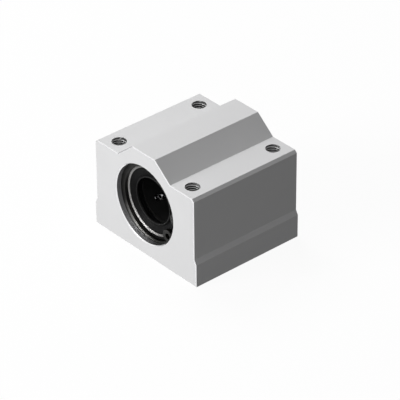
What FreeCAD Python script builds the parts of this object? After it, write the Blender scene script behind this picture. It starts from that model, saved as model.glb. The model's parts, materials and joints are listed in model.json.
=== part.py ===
"""Linear bearing block for a 16 mm shaft, in millimetres.

The origin is the centre of the block's flat foot. +Z is up, +Y runs along the bore from the front mouth to
the rear one, and +X is across the block.

An extruded aluminium block carries a recirculating ball bearing between two retaining rings. The bearing has
a steel sleeve with five raised lands, a plastic cage with five closed ball tracks, the balls, two end rings
that shut the cage in, and a lipped seal at each end.
"""

import FreeCAD
import Part
import itertools
import math
import os

import Sketcher
from FreeCAD import Placement, Rotation, Vector

SIZES = [
    # The block's outline.
    ("block_width", 50.0),
    ("shoulder_height", 32.5),
    ("ridge_rise", 6.0),
    ("ridge_top_width", 11.0),
    ("ridge_foot_width", 25.6),
    ("flange_height", 8.3),
    ("flange_step", 0.9),
    ("flange_bevel_rise", 1.7),
    ("shoulder_bevel", 0.9),
    ("edge_break", 0.25),
    # The block's bore and the grooves for its retaining rings. The block is longer than its bearing by a
    # mouth at each end.
    ("mouth_depth", 3.5),
    ("bore_height", 19.0),
    ("bore_diameter", 28.0),
    ("mouth_chamfer", 0.3),
    ("ring_groove_depth", 0.7),
    ("ring_groove_width", 1.3),
    # The four screw holes, tapped from the shoulders and drilled on through the foot.
    ("hole_spacing_across", 36.0),
    ("hole_end_distance", 5.0),
    ("thread_diameter", 5.0),
    ("thread_depth", 12.0),
    ("drill_diameter", 4.3),
    # The retaining rings: a band that narrows towards its gap, with a lug and a plier hole each side of it.
    ("ring_thickness", 1.2),
    ("ring_widest_band", 2.45),
    ("ring_narrowest_band", 1.05),
    ("ring_groove_clearance", 0.05),
    ("ring_lug_radius", 2.35),
    ("ring_lug_hole", 2.0),
    ("ring_gap", 4.0),
    ("ring_gap_angle", 25.0),
    # The bearing and its sleeve.
    ("shaft_diameter", 16.0),
    ("bearing_length", 37.0),
    ("bearing_clearance", 0.01),
    ("sleeve_chamfer", 0.7),
    ("sleeve_bore_diameter", 23.0),
    ("land_width", 4.0),
    ("land_root", 0.2),
    ("land_end_gap", 0.5),
    # The ball tracks. A circuit is a racetrack: the loaded row is one side and the return row the other.
    ("ball_diameter", 2.381),
    ("ball_clearance", 0.01),
    ("track_width", 4.2),
    ("track_clearance", 0.07),
    ("track_lift", 0.93),
    ("track_ramp", 1.8),
    ("floor_clearance", 0.02),
    ("row_start", -0.6),
    ("bearing_turn", 29.0),
    # The cage.
    ("cage_bore_diameter", 16.8),
    ("cage_wall", 0.5),
    ("cage_clearance", 0.1),
    ("land_clearance", 0.12),
    ("slot_narrowing", 0.051),
    ("slot_overrun", 0.5),
    # The end rings and the seals.
    ("end_ring_thickness", 0.5),
    ("end_ring_bore_diameter", 16.7),
    ("seat_clearance", 0.02),
    ("seal_recess", 0.1),
    ("seal_thickness", 2.7),
    ("seal_rim_width", 0.8),
    ("seal_dish_depth", 0.65),
    ("seal_dish_width", 1.7),
]

CIRCUITS = 5

# Lengths that several pieces share, each worked out from the driving dimensions.
BLOCK_LENGTH = "(Sizes.bearing_length + 2 * Sizes.mouth_depth)"
HOLE_SPACING_ALONG = f"({BLOCK_LENGTH} - 2 * Sizes.hole_end_distance)"
BORE_RADIUS = "Sizes.bore_diameter / 2"
SLEEVE_RADIUS = "(Sizes.bore_diameter / 2 - Sizes.bearing_clearance)"
SEAT_RADIUS = "Sizes.sleeve_bore_diameter / 2"
BALL_RADIUS = "Sizes.ball_diameter / 2"
PITCH_RADIUS = "(Sizes.shaft_diameter / 2 + Sizes.ball_clearance + Sizes.ball_diameter / 2)"
LAND_RADIUS = "(Sizes.shaft_diameter / 2 + 2 * Sizes.ball_clearance + Sizes.ball_diameter)"
CAGE_LENGTH = (
    "(Sizes.bearing_length - 2 * (Sizes.seal_recess + Sizes.seal_thickness + Sizes.end_ring_thickness))"
)
CHANNEL_WIDTH = "(Sizes.ball_diameter + 2 * Sizes.track_clearance)"
STRAIGHT = f"({CAGE_LENGTH} - 2 * Sizes.cage_wall - {CHANNEL_WIDTH} - Sizes.track_width)"
LOADED_HEIGHT = f"sqrt({PITCH_RADIUS} ^ 2 - (Sizes.track_width / 2) ^ 2)"
RETURN_HEIGHT = f"({LOADED_HEIGHT} + Sizes.track_lift)"
TRACK_FLOOR = f"({RETURN_HEIGHT} - {BALL_RADIUS} - Sizes.floor_clearance)"
LAND_LENGTH = f"({STRAIGHT} - 2 * (Sizes.track_ramp + Sizes.land_end_gap))"
LAND_INNER_SIDE = "(-(Sizes.track_width - Sizes.land_width) / 2)"
LAND_OUTER_SIDE = "(-(Sizes.track_width + Sizes.land_width) / 2)"
LAND_LOW_CORNER = f"sqrt({LAND_RADIUS} ^ 2 - {LAND_OUTER_SIDE} ^ 2)"
RING_RADIUS = "(Sizes.bore_diameter / 2 + Sizes.ring_groove_depth - Sizes.ring_groove_clearance)"
LUG_OFFSET = "(Sizes.ring_gap / 2 + Sizes.ring_lug_radius)"
LUG_REACH = f"sqrt(({RING_RADIUS} - Sizes.ring_lug_radius) ^ 2 - {LUG_OFFSET} ^ 2)"

doc = FreeCAD.newDocument("linear_bearing_block")
sheet = doc.addObject("Spreadsheet::Sheet", "Sizes")
for row, (name, size) in enumerate(SIZES, start=1):
    sheet.set(f"A{row}", name)
    sheet.set(f"B{row}", str(size))
    sheet.setAlias(f"B{row}", name)
doc.recompute()

nodes = []


def value(expression):
    """A length or angle worked out from the sheet."""
    return float(sheet.evalExpression(expression))


def new_body(label):
    body = doc.addObject("PartDesign::Body", label)
    body.Label = label
    nodes.append(body)
    return body


def origin_feature(body, role):
    return next(feature for feature in body.Origin.OriginFeatures if feature.Role == role)


def new_sketch(body, role, name, along_normal=None, up=None):
    """A sketch on one of the body's own planes, moved along its normal or up its own vertical axis."""
    sketch = body.newObject("Sketcher::SketchObject", name)
    sketch.AttachmentSupport = [(origin_feature(body, role), "")]
    sketch.MapMode = "FlatFace"
    if along_normal:
        sketch.setExpression("AttachmentOffset.Base.z", along_normal)
    if up:
        sketch.setExpression("AttachmentOffset.Base.y", up)
    return sketch


def pin(sketch, geometry, end, x, y):
    """Ties one point of the sketch to expressions for its two coordinates."""
    for kind, axis, expression in (("DistanceX", -2, x), ("DistanceY", -1, y)):
        distance = value(expression)
        if abs(distance) < 1e-9:
            sketch.addConstraint(Sketcher.Constraint("PointOnObject", geometry, end, axis))
            continue
        index = sketch.addConstraint(Sketcher.Constraint(kind, -1, 1, geometry, end, distance))
        sketch.setExpression(f"Constraints[{index}]", expression)


def add_outline(sketch, corners):
    """A closed outline of straight lines, with every corner tied to the sheet."""
    points = [Vector(value(x), value(y), 0) for x, y in corners]
    first = sketch.GeometryCount
    count = len(points)
    for i, point in enumerate(points):
        sketch.addGeometry(Part.LineSegment(point, points[(i + 1) % count]), False)
    for i in range(count):
        after = first + (i + 1) % count
        sketch.addConstraint(Sketcher.Constraint("Coincident", first + i, 2, after, 1))
    for i, (x, y) in enumerate(corners):
        pin(sketch, first + i, 1, x, y)


def add_circle(sketch, x, y, radius):
    centre = Vector(value(x), value(y), 0)
    circle = sketch.addGeometry(Part.Circle(centre, Vector(0, 0, 1), value(radius)), False)
    pin(sketch, circle, 3, x, y)
    index = sketch.addConstraint(Sketcher.Constraint("Radius", circle, value(radius)))
    sketch.setExpression(f"Constraints[{index}]", radius)


def rectangle(left, right, half_length):
    """The corners of a rectangle that is centred along the sketch's vertical."""
    return [(left, f"-{half_length}"), (right, f"-{half_length}"), (right, half_length), (left, half_length)]


def add_racetrack(sketch, half_length, radius):
    """Two half circles joined by two straight sides that run along the sketch's vertical."""
    top, size = value(half_length), value(radius)
    z_axis = Vector(0, 0, 1)
    upper_circle = Part.Circle(Vector(0, top, 0), z_axis, size)
    lower_circle = Part.Circle(Vector(0, -top, 0), z_axis, size)
    upper = sketch.addGeometry(Part.ArcOfCircle(upper_circle, 0, math.pi), False)
    left = sketch.addGeometry(Part.LineSegment(Vector(-size, top, 0), Vector(-size, -top, 0)), False)
    lower = sketch.addGeometry(Part.ArcOfCircle(lower_circle, math.pi, 2 * math.pi), False)
    right = sketch.addGeometry(Part.LineSegment(Vector(size, -top, 0), Vector(size, top, 0)), False)
    sides = (upper, left, lower, right)
    for i, side in enumerate(sides):
        sketch.addConstraint(Sketcher.Constraint("Tangent", side, 2, sides[(i + 1) % 4], 1))
    pin(sketch, upper, 3, "0", half_length)
    pin(sketch, lower, 3, "0", f"-({half_length})")
    index = sketch.addConstraint(Sketcher.Constraint("Radius", upper, size))
    sketch.setExpression(f"Constraints[{index}]", radius)


def add_feature(body, kind, name, sketch=None, **settings):
    feature = body.newObject(f"PartDesign::{kind}", name)
    if sketch:
        feature.Profile = sketch
    for key, setting in settings.items():
        setattr(feature, key, setting)
    return feature


def pad(body, name, sketch, length, symmetric=False):
    feature = add_feature(body, "Pad", name, sketch)
    feature.SideType = "Symmetric" if symmetric else "One side"
    feature.setExpression("Length", length)
    return feature


def pocket(body, name, sketch, length, reverse=False, symmetric=False):
    """Cuts the sketch out of the body, and fails if nothing is removed."""
    doc.recompute()
    before = body.Shape.Volume
    feature = add_feature(body, "Pocket", name, sketch, Reversed=reverse)
    feature.SideType = "Symmetric" if symmetric else "One side"
    feature.setExpression("Length", length)
    check_cut(body, before, name)
    return feature


def revolve(body, name, sketch, kind="Revolution"):
    """Turns the sketch about its own horizontal axis, which lies on the bore's axis."""
    return add_feature(body, kind, name, sketch, ReferenceAxis=(sketch, ["H_Axis"]), Angle=360)


def groove(body, name, sketch):
    doc.recompute()
    before = body.Shape.Volume
    feature = revolve(body, name, sketch, "Groove")
    check_cut(body, before, name)
    return feature


def repeat_about_bore(body, name, features):
    """Copies features to all the circuits, evenly round the bore."""
    doc.recompute()
    before = body.Shape.Volume
    pattern = body.newObject("PartDesign::PolarPattern", name)
    pattern.Originals = features
    pattern.Axis = (origin_feature(body, "Y_Axis"), [""])
    pattern.Angle = 360
    pattern.Occurrences = CIRCUITS
    body.Tip = pattern
    doc.recompute()
    if abs(body.Shape.Volume - before) < 1e-6:
        raise RuntimeError(f"{name} changed nothing")
    return pattern


def check_cut(body, before, name):
    doc.recompute()
    if body.Shape.Volume > before - 1e-6:
        raise RuntimeError(f"{name} cut nothing")


def break_end_edges(body, half_length, size):
    """Chamfers every edge round the two ends of an extrusion that is centred along the bore."""
    doc.recompute()
    extrusion = body.Tip
    edges = enumerate(extrusion.Shape.Edges, start=1)
    at_ends = [f"Edge{i}" for i, edge in edges if abs(abs(edge.CenterOfMass.y) - half_length) < 1e-6]
    chamfer = body.newObject("PartDesign::Chamfer", "machined_edges")
    chamfer.Base = (extrusion, at_ends)
    chamfer.setExpression("Size", size)
    doc.recompute()


def place(node, along="0", turn=0.0, faces_rear=False):
    """Puts a bearing piece on the bore's axis, some way along it, turned about it or facing the rear."""
    about_bore = Rotation(Vector(0, 1, 0), turn)
    end_for_end = Rotation(Vector(0, 0, 1), 180 if faces_rear else 0)
    node.Placement = Placement(Vector(0, value(along), value("Sizes.bore_height")), end_for_end * about_bore)
    node.setExpression("Placement.Base.y", along)
    node.setExpression("Placement.Base.z", "Sizes.bore_height")


def housing_block():
    """The block: an extrusion with a stepped foot and a ridge, bored, grooved and drilled."""
    body = new_body("housing_block")
    half_width = "Sizes.block_width / 2"
    side = f"{half_width} - Sizes.flange_step"
    bevel_top = "Sizes.flange_height + Sizes.flange_bevel_rise"
    ridge_top = "Sizes.shoulder_height + Sizes.ridge_rise"
    right = [
        (half_width, "0"),
        (half_width, "Sizes.flange_height"),
        (side, bevel_top),
        (side, "Sizes.shoulder_height - Sizes.shoulder_bevel"),
        (f"{side} - Sizes.shoulder_bevel", "Sizes.shoulder_height"),
        ("Sizes.ridge_foot_width / 2", "Sizes.shoulder_height"),
        ("Sizes.ridge_top_width / 2", ridge_top),
    ]
    left = [(f"-({x})", z) for x, z in reversed(right)]
    section = new_sketch(body, "XZ_Plane", "block_section")
    add_outline(section, right + left)
    pad(body, "extrusion", section, BLOCK_LENGTH, symmetric=True)
    break_end_edges(body, value(BLOCK_LENGTH) / 2, "Sizes.edge_break")

    # The bore is one turned cut: the two chamfered mouths, the bearing seat and the two ring grooves.
    mouth = f"{BLOCK_LENGTH} / 2"
    seat_end = "Sizes.bearing_length / 2"
    groove_inner = f"({seat_end} + (Sizes.ring_thickness - Sizes.ring_groove_width) / 2)"
    groove_outer = f"({groove_inner} + Sizes.ring_groove_width)"
    groove_radius = f"{BORE_RADIUS} + Sizes.ring_groove_depth"
    rear_half = [
        (groove_inner, BORE_RADIUS),
        (groove_inner, groove_radius),
        (groove_outer, groove_radius),
        (groove_outer, BORE_RADIUS),
        (f"{mouth} - Sizes.mouth_chamfer", BORE_RADIUS),
        (mouth, f"{BORE_RADIUS} + Sizes.mouth_chamfer"),
        (mouth, "0"),
    ]
    front_half = [(f"-({y})", radius) for y, radius in reversed(rear_half)]
    bore_section = new_sketch(body, "YZ_Plane", "bore_section", up="Sizes.bore_height")
    add_outline(bore_section, rear_half + front_half)
    groove(body, "bore", bore_section)

    for name, diameter, depth in (
        ("tapped_holes", "Sizes.thread_diameter", "Sizes.thread_depth"),
        ("drilled_holes", "Sizes.drill_diameter", None),
    ):
        centres = new_sketch(body, "XY_Plane", f"{name}_centres", along_normal="Sizes.shoulder_height")
        for x_sign, y_sign in itertools.product(("", "-"), repeat=2):
            across = f"{x_sign}Sizes.hole_spacing_across / 2"
            along = f"{y_sign}{HOLE_SPACING_ALONG} / 2"
            add_circle(centres, across, along, f"{diameter} / 2")
        doc.recompute()
        before = body.Shape.Volume
        holes = add_feature(body, "Hole", name, centres, Threaded=False, DrillPoint="Flat")
        holes.setExpression("Diameter", diameter)
        if depth:
            holes.DepthType = "Dimension"
            holes.DrillPoint = "Angled"
            holes.setExpression("Depth", depth)
        else:
            holes.DepthType = "ThroughAll"
        check_cut(body, before, name)
    return body


def bearing_sleeve():
    """The hardened steel sleeve, with a raised land inside for each loaded row."""
    body = new_body("bearing_sleeve")
    end = "Sizes.bearing_length / 2"
    rear_half = [
        (f"{end} - Sizes.sleeve_chamfer", SLEEVE_RADIUS),
        (end, f"{SLEEVE_RADIUS} - Sizes.sleeve_chamfer"),
        (end, SEAT_RADIUS),
    ]
    front_half = [(f"-({y})", radius) for y, radius in reversed(rear_half)]
    section = new_sketch(body, "YZ_Plane", "sleeve_section")
    add_outline(section, rear_half + front_half)
    revolve(body, "sleeve", section)

    # A land's sides are parallel, and its inner face is ground round to the balls' outer tangent circle.
    land = new_sketch(body, "XZ_Plane", "land_section")
    root = f"({SEAT_RADIUS} + Sizes.land_root)"
    radius = value(LAND_RADIUS)
    inner_angle = math.acos(value(LAND_INNER_SIDE) / radius)
    outer_angle = math.acos(value(LAND_OUTER_SIDE) / radius)
    tangent_circle = Part.Circle(Vector(0, 0, 0), Vector(0, 0, 1), radius)
    face = land.addGeometry(Part.ArcOfCircle(tangent_circle, inner_angle, outer_angle), False)
    corners = [
        Vector(value(LAND_OUTER_SIDE), radius * math.sin(outer_angle), 0),
        Vector(value(LAND_OUTER_SIDE), value(root), 0),
        Vector(value(LAND_INNER_SIDE), value(root), 0),
        Vector(value(LAND_INNER_SIDE), radius * math.sin(inner_angle), 0),
    ]
    sides = [land.addGeometry(Part.LineSegment(a, b), False) for a, b in zip(corners, corners[1:])]
    land.addConstraint(Sketcher.Constraint("Coincident", face, 3, -1, 1))
    loop = [face, *sides]
    for first, second in zip(loop, [*sides, face]):
        land.addConstraint(Sketcher.Constraint("Coincident", first, 2, second, 1))
    index = land.addConstraint(Sketcher.Constraint("Radius", face, radius))
    land.setExpression(f"Constraints[{index}]", LAND_RADIUS)
    pin(land, sides[1], 1, LAND_OUTER_SIDE, root)
    pin(land, sides[1], 2, LAND_INNER_SIDE, root)
    land.addConstraint(Sketcher.Constraint("Vertical", sides[0]))
    land.addConstraint(Sketcher.Constraint("Vertical", sides[2]))
    first_land = pad(body, "land", land, LAND_LENGTH, symmetric=True)
    repeat_about_bore(body, "lands", [first_land])
    place(body, turn=value("Sizes.bearing_turn"))
    return body


def ball_cage():
    """The cage: five racetrack channels, each open to the shaft through a slot under its loaded row."""
    body = new_body("ball_cage")
    section = new_sketch(body, "XZ_Plane", "cage_section")
    add_circle(section, "0", "0", f"{SEAT_RADIUS} - Sizes.cage_clearance")
    add_circle(section, "0", "0", "Sizes.cage_bore_diameter / 2")
    pad(body, "tube", section, CAGE_LENGTH, symmetric=True)

    channel = new_sketch(body, "XY_Plane", "channel_track", along_normal=TRACK_FLOOR)
    half_straight = f"{STRAIGHT} / 2"
    add_racetrack(channel, half_straight, f"(Sizes.track_width + {CHANNEL_WIDTH}) / 2")
    island = f"(Sizes.track_width - {CHANNEL_WIDTH}) / 2"
    add_outline(channel, rectangle(f"-{island}", island, half_straight))
    first_channel = pocket(body, "channel", channel, f"{SEAT_RADIUS} - {TRACK_FLOOR} + 1", reverse=True)

    # The slot is a little narrower than a ball, so it holds the balls when the shaft is drawn out.
    slot = new_sketch(body, "XY_Plane", "slot_outline")
    slot_reach = f"({BALL_RADIUS} - Sizes.slot_narrowing / 2)"
    slot_sides = (f"-Sizes.track_width / 2 - {slot_reach}", f"-Sizes.track_width / 2 + {slot_reach}")
    add_outline(slot, rectangle(*slot_sides, f"({half_straight} + Sizes.slot_overrun)"))
    first_slot = pocket(body, "slot", slot, f"{TRACK_FLOOR} + Sizes.floor_clearance", reverse=True)

    # A recess lets the sleeve's land down to the loaded row.
    recess_floor = f"{LAND_LOW_CORNER} - Sizes.land_clearance"
    recess = new_sketch(body, "XY_Plane", "land_recess_outline", along_normal=recess_floor)
    recess_sides = (f"{LAND_OUTER_SIDE} - Sizes.land_clearance", f"{LAND_INNER_SIDE} + Sizes.land_clearance")
    add_outline(recess, rectangle(*recess_sides, f"({LAND_LENGTH} / 2 + Sizes.land_clearance)"))
    first_recess = pocket(body, "land_recess", recess, SEAT_RADIUS, reverse=True)
    repeat_about_bore(body, "tracks", [first_channel, first_slot, first_recess])
    place(body, turn=value("Sizes.bearing_turn"))
    return body


def faceted_ball(radius):
    """A ball as twenty flat faces with their corners on its sphere, which keeps so many balls light."""
    golden = (1 + math.sqrt(5)) / 2
    unit = radius / math.hypot(1, golden)
    signs = itertools.product((-unit, unit), repeat=2)
    corners = [Vector(*turned) for a, b in signs for turned in cyclic_orders(0, a, golden * b)]

    def all_neighbours(three):
        return all(a.distanceToPoint(b) < 2.1 * unit for a, b in itertools.combinations(three, 2))

    faces = [
        Part.Face(Part.makePolygon([*three, three[0]]))
        for three in itertools.combinations(corners, 3)
        if all_neighbours(three)
    ]
    return Part.Solid(Part.Shell(faces))


def cyclic_orders(x, y, z):
    return (x, y, z), (y, z, x), (z, x, y)


def track_positions():
    """Ball centres round one circuit, as (across, along, out) and whether the ball is in the loaded row."""
    straight, width, ramp = value(STRAIGHT), value("Sizes.track_width"), value("Sizes.track_ramp")
    loaded, lift = value(LOADED_HEIGHT), value("Sizes.track_lift")
    turn = math.pi * width / 2
    length = 2 * (straight + turn)
    # Balls on the end turns are the closest, so they set the spacing along the track.
    chord = value("Sizes.ball_diameter + Sizes.ball_clearance / 2")
    count = int(length / (width * math.asin(chord / width)))
    centres = []
    for i in range(count):
        s = (straight / 2 + value("Sizes.row_start") + i * length / count) % length
        if s < straight:
            along = s - straight / 2
            climb = max(0, abs(along) - straight / 2 + ramp) / ramp
            out = loaded + lift * (1 - math.cos(math.pi * climb)) / 2
            centres.append((Vector(-width / 2, along, out), True))
            continue
        s -= straight
        if s < turn:
            angle = 2 * s / width
            across, along = -width / 2 * math.cos(angle), straight / 2 + width / 2 * math.sin(angle)
        elif s < turn + straight:
            across, along = width / 2, straight / 2 - (s - turn)
        else:
            angle = 2 * (s - turn - straight) / width
            across, along = width / 2 * math.cos(angle), -straight / 2 - width / 2 * math.sin(angle)
        centres.append((Vector(across, along, loaded + lift), False))
    return centres


def ball_rows():
    """Two nodes for each circuit: the loaded row in the slot, and the row that goes back behind the cage."""
    ball = faceted_ball(value(BALL_RADIUS))
    centres = track_positions()
    for circuit in range(CIRCUITS):
        about_bore = Rotation(Vector(0, 1, 0), 360 * circuit / CIRCUITS)
        for label, in_row in (("loaded_balls", True), ("return_balls", False)):
            row = []
            for centre, is_loaded in centres:
                if is_loaded == in_row:
                    copy = ball.copy()
                    copy.Placement = Placement(about_bore.multVec(centre), about_bore)
                    row.append(copy)
            node = doc.addObject("Part::Feature", f"{label}_{circuit + 1}")
            node.Label = f"{label}_{circuit + 1}"
            node.Shape = Part.makeCompound(row)
            place(node, turn=value("Sizes.bearing_turn"))
            nodes.append(node)


def end_ring(end, faces_rear):
    """A flat steel ring that shuts the cage and its tracks in."""
    body = new_body(f"{end}_end_ring")
    section = new_sketch(body, "XZ_Plane", f"{end}_end_ring_section")
    add_circle(section, "0", "0", f"{SEAT_RADIUS} - Sizes.seat_clearance")
    add_circle(section, "0", "0", "Sizes.end_ring_bore_diameter / 2")
    pad(body, f"{end}_end_ring_plate", section, "Sizes.end_ring_thickness")
    place(body, f"{'' if faces_rear else '-'}{CAGE_LENGTH} / 2", faces_rear=faces_rear)
    return body


def seal(end, faces_rear):
    """A rubber seal: a flat rim, a dished face and a lip that bears on the shaft."""
    body = new_body(f"{end}_seal")
    front = "Sizes.seal_recess"
    back = f"({front} + Sizes.seal_thickness)"
    rim = f"{SEAT_RADIUS} - Sizes.seat_clearance"
    lip = "Sizes.shaft_diameter / 2"
    dish_outer = f"({rim} - Sizes.seal_rim_width)"
    outline = [
        (front, lip),
        (f"{front} + Sizes.seal_dish_depth", f"{dish_outer} - Sizes.seal_dish_width"),
        (front, dish_outer),
        (front, rim),
        (back, rim),
        (back, lip),
    ]
    section = new_sketch(body, "YZ_Plane", f"{end}_seal_section")
    add_outline(section, outline)
    revolve(body, f"{end}_seal_ring", section)
    place(body, f"{'' if faces_rear else '-'}Sizes.bearing_length / 2", faces_rear=faces_rear)
    return body


def retaining_ring(end, faces_rear):
    """A spring ring in the block's groove, with a lug and a plier hole each side of its gap."""
    body = new_body(f"{end}_retaining_ring")
    band = new_sketch(body, "XZ_Plane", f"{end}_band")
    add_circle(band, "0", "0", RING_RADIUS)
    eccentricity = "(Sizes.ring_widest_band - Sizes.ring_narrowest_band) / 2"
    inner_radius = f"{RING_RADIUS} - (Sizes.ring_widest_band + Sizes.ring_narrowest_band) / 2"
    add_circle(band, eccentricity, "0", inner_radius)
    pad(body, f"{end}_ring_band", band, "Sizes.ring_thickness")
    lugs = new_sketch(body, "XZ_Plane", f"{end}_lug_outlines")
    holes = new_sketch(body, "XZ_Plane", f"{end}_plier_holes")
    for side in ("", "-"):
        add_circle(lugs, LUG_REACH, f"{side}{LUG_OFFSET}", "Sizes.ring_lug_radius")
        add_circle(holes, LUG_REACH, f"{side}{LUG_OFFSET}", "Sizes.ring_lug_hole / 2")
    pad(body, f"{end}_lugs", lugs, "Sizes.ring_thickness")
    through = "2 * Sizes.ring_thickness"
    pocket(body, f"{end}_lug_holes", holes, through, symmetric=True)
    gap = new_sketch(body, "XZ_Plane", f"{end}_gap_outline")
    add_outline(gap, rectangle(LUG_REACH, f"{RING_RADIUS} + Sizes.ring_thickness", "(Sizes.ring_gap / 2)"))
    pocket(body, f"{end}_gap", gap, through, symmetric=True)
    along = f"{'' if faces_rear else '-'}Sizes.bearing_length / 2"
    place(body, along, turn=value("Sizes.ring_gap_angle"), faces_rear=faces_rear)
    return body


def check_and_write():
    """Every object must have built, and every node must be valid, before any file is written."""
    doc.recompute()
    for item in doc.Objects:
        if "Invalid" in item.State or "Error" in item.State:
            raise RuntimeError(f"{item.Label} failed: {item.State}")
    for node in nodes:
        if node.Shape.isNull() or not node.Shape.isValid():
            raise RuntimeError(f"{node.Label} has no valid shape")
    os.makedirs("parts", exist_ok=True)
    for node in nodes:
        node.Shape.exportStep(f"parts/{node.Label}.step")


housing_block()
bearing_sleeve()
ball_cage()
ball_rows()
for end_name, at_rear in (("front", False), ("rear", True)):
    end_ring(end_name, at_rear)
    seal(end_name, at_rear)
    retaining_ring(end_name, at_rear)
check_and_write()
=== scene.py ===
"""The looks of a linear bearing block: finishes, balls, seals, threads, and the photograph's view of it."""

import json
import math

import bmesh
import bpy
from bpy.props import FloatProperty, FloatVectorProperty, IntProperty, PointerProperty
from bpy.types import Operator, Panel, PropertyGroup
from mathutils import Matrix, Vector


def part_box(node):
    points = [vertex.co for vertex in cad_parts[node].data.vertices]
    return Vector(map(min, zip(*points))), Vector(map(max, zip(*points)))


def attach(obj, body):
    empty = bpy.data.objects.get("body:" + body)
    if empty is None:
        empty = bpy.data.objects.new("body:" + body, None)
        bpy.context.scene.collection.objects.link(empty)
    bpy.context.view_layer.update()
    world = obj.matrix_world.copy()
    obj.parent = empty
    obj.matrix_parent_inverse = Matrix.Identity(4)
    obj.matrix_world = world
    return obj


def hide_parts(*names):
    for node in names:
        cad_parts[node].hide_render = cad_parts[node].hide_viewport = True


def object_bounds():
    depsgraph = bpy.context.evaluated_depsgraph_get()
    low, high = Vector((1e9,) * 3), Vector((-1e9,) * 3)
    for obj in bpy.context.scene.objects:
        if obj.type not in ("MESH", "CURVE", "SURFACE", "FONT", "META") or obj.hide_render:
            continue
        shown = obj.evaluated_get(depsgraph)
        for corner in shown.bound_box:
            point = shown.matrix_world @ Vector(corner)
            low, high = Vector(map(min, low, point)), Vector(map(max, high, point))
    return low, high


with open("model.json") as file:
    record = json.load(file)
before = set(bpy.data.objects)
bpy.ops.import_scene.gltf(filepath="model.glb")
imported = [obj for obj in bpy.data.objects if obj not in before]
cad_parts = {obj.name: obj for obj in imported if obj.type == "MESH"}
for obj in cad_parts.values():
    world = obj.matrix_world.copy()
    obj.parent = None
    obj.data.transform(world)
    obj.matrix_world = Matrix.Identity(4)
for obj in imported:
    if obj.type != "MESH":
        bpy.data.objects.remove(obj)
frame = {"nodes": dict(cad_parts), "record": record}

bl_info = {
    "name": "Linear bearing block",
    "version": (1, 0, 0),
    "blender": (4, 5, 0),
    "location": "3D View > Sidebar > Bearing Block",
    "description": "Finishes a slide block and the ball bearing that it carries",
    "category": "Object",
}

MM = 0.001
CAD_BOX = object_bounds()
NODES = frame["nodes"]
MOUNTS = {mount["name"]: mount for mount in frame["record"]["mounts"]}
BORE_HEIGHT = MOUNTS["shaft_bore"]["pos_m"][2]
LIP_RADIUS = MOUNTS["shaft_bore"]["dims"]["r_mm"] * MM
TAPPED_HOLES = MOUNTS["top_tapped_holes"]
SHOULDER_HEIGHT = TAPPED_HOLES["pos_m"][2]
THREAD_RADIUS = TAPPED_HOLES["dims"]["hole_r_mm"] * MM
DRILL_RADIUS = MOUNTS["bottom_through_holes"]["dims"]["hole_r_mm"] * MM
HOLE_X = TAPPED_HOLES["dims"]["spacing_x_mm"] / 2 * MM
HOLE_Y = TAPPED_HOLES["dims"]["spacing_y_mm"] / 2 * MM
FACE_Y = CAD_BOX[1].y
RING_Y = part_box("rear_retaining_ring")[1].y
ENDS = {"front": -1, "rear": 1}

BALL_SUBDIVISIONS = 3
SHARP_ANGLE = math.radians(32)
WELD_DISTANCE = 0.5e-6
SAME_CORNER = 1e-7


def length(name, description, default, largest=1.0):
    return FloatProperty(
        name=name, description=description, default=default, min=0, max=largest, unit="LENGTH", precision=6
    )


def share(name, description, default):
    return FloatProperty(name=name, description=description, default=default, min=0, max=1, subtype="FACTOR")


def angle(name, description, default):
    return FloatProperty(name=name, description=description, default=math.radians(default), unit="ROTATION")


def level(name, description, default):
    return FloatProperty(name=name, description=description, default=default, min=0, soft_max=2)


def direction(name, description, default):
    return FloatVectorProperty(
        name=name, description=description, default=default, size=3, subtype="DIRECTION"
    )


def colour(name, description, default):
    return FloatVectorProperty(
        name=name, description=description, default=default, size=3, min=0, max=1, subtype="COLOR"
    )


class BlockFinish(PropertyGroup):
    """The block's anodised skin and the metal that is bare where it was cut, with painted shade in the bore
    and on some edges.
    """

    skin_colour: colour("Skin", "Colour of the anodised faces", (0.69, 0.69, 0.695))
    skin_metal: share("Skin metal", "How much the anodised skin mirrors like metal", 0.04)
    skin_roughness: share("Skin roughness", "Roughness of the anodised faces", 0.5)
    skin_gloss: share("Skin gloss", "Strength of the anodised skin's clear shine", 0.3)
    edge_colour: colour("Broken edges", "Colour of the bare edges at the end faces", (0.84, 0.84, 0.85))
    edge_shade: colour("Shaded edges", "Colour of the bare edges that look to the left", (0.45, 0.45, 0.46))
    edge_roughness: share("Edge roughness", "Roughness of the bare edges", 0.16)
    edge_depth: length("Edge depth", "How far from an end face its broken edges reach", 0.4 * MM)
    bore_colour: colour("Bored wall", "Colour of the bare metal in the bore", (0.19, 0.19, 0.194))
    bore_metal: share("Bore metal", "How much the bored wall mirrors like metal", 0.6)
    # Painted shade: the share of light taken from the bored wall's colour away from the bore's lower left.
    bore_painted_shade: share("Bore oil", "How much light the oil on the bored wall takes", 0.85)
    bore_radius: length("Bore radius", "The bore is bare metal out to this radius", 14.8 * MM)
    hole_colour: colour("Drilled walls", "Colour of the bare metal in the screw holes", (0.25, 0.25, 0.25))
    wall_roughness: share("Wall roughness", "Roughness of the bare walls", 0.38)
    skin_grain: length("Skin grain", "Depth of the anodised skin's fine lines", 0.004 * MM)
    feed_marks: length("Feed marks", "Depth of the feed marks on the bored wall", 0.108 * MM)
    thread_grain: length("Thread grain", "Depth of the roughness on the threads", 0.003 * MM)


class GreaseLine(PropertyGroup):
    """The painted shadow that lines the retaining rings, on the bored wall and on the sleeve's end."""

    # Painted shadow: a near-black colour laid beside the retaining rings, where their shadow falls.
    colour: colour("Colour", "Colour of the grease", (0.01, 0.01, 0.01))
    ring_radius: length("Ring radius", "Radius of the retaining rings' inner edge", 12.9 * MM)
    wall_width: length("Width on the wall", "Width of the line along the bored wall", 0.4 * MM)
    sleeve_width: length("Width on the sleeve", "Width of the line on the sleeve's end", 0.7 * MM)


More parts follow.
